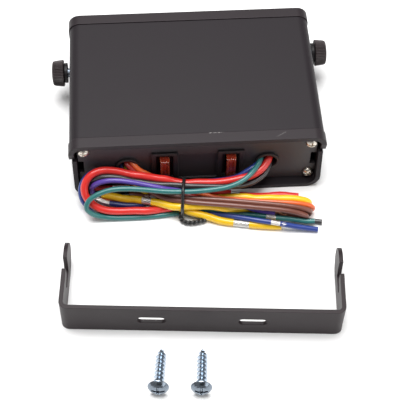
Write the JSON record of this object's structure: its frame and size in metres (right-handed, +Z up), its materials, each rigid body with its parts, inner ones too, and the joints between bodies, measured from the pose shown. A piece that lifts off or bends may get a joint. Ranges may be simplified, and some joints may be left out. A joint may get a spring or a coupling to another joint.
{
  "type": "brake controller unit",
  "caption": "In-cab trailer brake control box with fused rear wiring, thumb-knob mounts, a separate U-bracket with hook slots and loose self-tapping screws.",
  "frame": {"origin": "centre of the case's flat underside, on the table", "axes": "+X right and +Y forward as seen from behind the unit, so the wiring leaves towards -Y; +Z up"},
  "size_m": [0.1514, 0.2195, 0.0378],
  "materials": {
    "case_plastic": "fine textured, matt",
    "band_plastic": "smooth, satin",
    "panel_plastic": "satin",
    "nickel_steel": "nickel plated",
    "zinc_steel": "bright zinc plated",
    "grommet_plastic": "satin",
    "fuse_plastic": "translucent, polished",
    "fuse_metal": "tinned",
    "knob_plastic": "satin",
    "bracket_paint": "powder coat, matt",
    "board": "solder mask",
    "aluminium": "machined",
    "component_plastic": "moulded",
    "lens": "tinted, polished",
    "led": "tinted, polished",
    "tie_plastic": "plastic coated wire",
    "wire_red": "PVC insulation, semi-gloss",
    "wire_teal": "PVC insulation, semi-gloss",
    "wire_black": "PVC insulation, semi-gloss",
    "wire_blue": "PVC insulation, semi-gloss",
    "wire_yellow": "PVC insulation, semi-gloss",
    "wire_purple": "PVC insulation, semi-gloss",
    "wire_maroon": "PVC insulation, semi-gloss",
    "wire_orange": "PVC insulation, semi-gloss",
    "wire_brown": "PVC insulation, semi-gloss"
  },
  "bodies": {
    "unit": {"button_switch": "component_plastic", "capacitor": "component_plastic", "circuit_board": "board", "display_lens": "lens", "display_module": "component_plastic", "front_bezel": "band_plastic", "front_panel": "panel_plastic", "front_screw_left_high": "nickel_steel", "front_screw_left_low": "nickel_steel", "front_screw_right_high": "nickel_steel", "front_screw_right_low": "nickel_steel", "gain_pot": "aluminium", "harness_hank": "wire_black", "harness_tie": "tie_plastic", "heat_sink": "aluminium", "lead_black": "wire_black", "lead_blue": "wire_blue", "lead_brown": "wire_brown", "lead_maroon": "wire_maroon", "lead_orange": "wire_orange", "lead_purple": "wire_purple", "lead_red": "wire_red", "lead_teal": "wire_teal", "lead_yellow": "wire_yellow", "left_fuse_body": "fuse_plastic", "left_fuse_element": "fuse_metal", "left_fuse_socket": "panel_plastic", "left_grommet": "grommet_plastic", "lever_switch": "component_plastic", "lower_tray": "case_plastic", "microcontroller": "component_plastic", "power_transistor": "component_plastic", "rear_hood": "band_plastic", "rear_panel": "panel_plastic", "rear_screw_left_high": "nickel_steel", "rear_screw_left_low": "nickel_steel", "rear_screw_right_high": "nickel_steel", "rear_screw_right_low": "nickel_steel", "relay": "component_plastic", "right_fuse_body": "fuse_plastic", "right_fuse_element": "fuse_metal", "right_fuse_socket": "panel_plastic", "right_grommet": "grommet_plastic", "status_led": "led", "upper_cover": "case_plastic"},
    "left_nut": {"left_track_nut": "zinc_steel"},
    "left_washer": {"left_washer": "knob_plastic"},
    "left_thumb_screw": {"left_knob": "knob_plastic", "left_stud": "zinc_steel"},
    "right_nut": {"right_track_nut": "zinc_steel"},
    "right_washer": {"right_washer": "knob_plastic"},
    "right_thumb_screw": {"right_knob": "knob_plastic", "right_stud": "zinc_steel"},
    "gain_control": {"gain_knob": "knob_plastic", "gain_shaft": "aluminium"},
    "override": {"override_lever": "knob_plastic"},
    "button": {"mode_button": "knob_plastic"},
    "bracket": {"mounting_bracket": "bracket_paint"},
    "screw_left": {"loose_screw_left": "zinc_steel"},
    "screw_right": {"loose_screw_right": "zinc_steel"}
  },
  "joints": [
    {"name": "left_track_slide", "type": "slide", "parent": "unit", "child": "left_nut", "axis": [0, 1, 0], "range_m": [-0.0061, 0.0137]},
    {"name": "left_washer_slide", "type": "slide", "parent": "left_nut", "child": "left_washer", "axis": [-1, 0, 0], "range_m": [-0.0015, 0.0023]},
    {"name": "left_knob_turn", "type": "hinge", "parent": "left_washer", "child": "left_thumb_screw", "pos_m": [-0.07, 0.0212, 0.019], "axis": [-1, 0, 0], "range_deg": [-700, 1060]},
    {"name": "right_track_slide", "type": "slide", "parent": "unit", "child": "right_nut", "axis": [0, 1, 0], "range_m": [-0.0139, 0.0059]},
    {"name": "right_washer_slide", "type": "slide", "parent": "right_nut", "child": "right_washer", "axis": [1, 0, 0], "range_m": [-0.0015, 0.0023]},
    {"name": "right_knob_turn", "type": "hinge", "parent": "right_washer", "child": "right_thumb_screw", "pos_m": [0.07, 0.029, 0.019], "axis": [1, 0, 0], "range_deg": [-700, 1060]},
    {"name": "gain_turn", "type": "hinge", "parent": "unit", "child": "gain_control", "pos_m": [0.004, 0.0431, 0.0184], "axis": [0, 1, 0], "range_deg": [-135, 135]},
    {"name": "override_slide", "type": "slide", "parent": "unit", "child": "override", "axis": [1, 0, 0], "range_m": [0, 0.016], "stiffness_N_per_m": 60, "springref_m": -0.004},
    {"name": "mode_button_press", "type": "slide", "parent": "unit", "child": "button", "axis": [0, -1, 0], "range_m": [0, 0.0015], "stiffness_N_per_m": 300, "springref_m": -0.001},
    {"name": "bracket_lift", "type": "slide", "parent": "unit", "child": "bracket", "axis": [0, 0, 1], "range_m": [0, 0.06]},
    {"name": "loose_screw_left_lift", "type": "slide", "parent": "unit", "child": "screw_left", "axis": [0, 0, 1], "range_m": [0, 0.03]},
    {"name": "loose_screw_right_lift", "type": "slide", "parent": "unit", "child": "screw_right", "axis": [0, 0, 1], "range_m": [0, 0.03]}
  ],
  "couplings": [
    {"joint": "left_knob_turn", "follows": "left_washer_slide", "rad_per_m": 7854},
    {"joint": "right_knob_turn", "follows": "right_washer_slide", "rad_per_m": 7854}
  ]
}
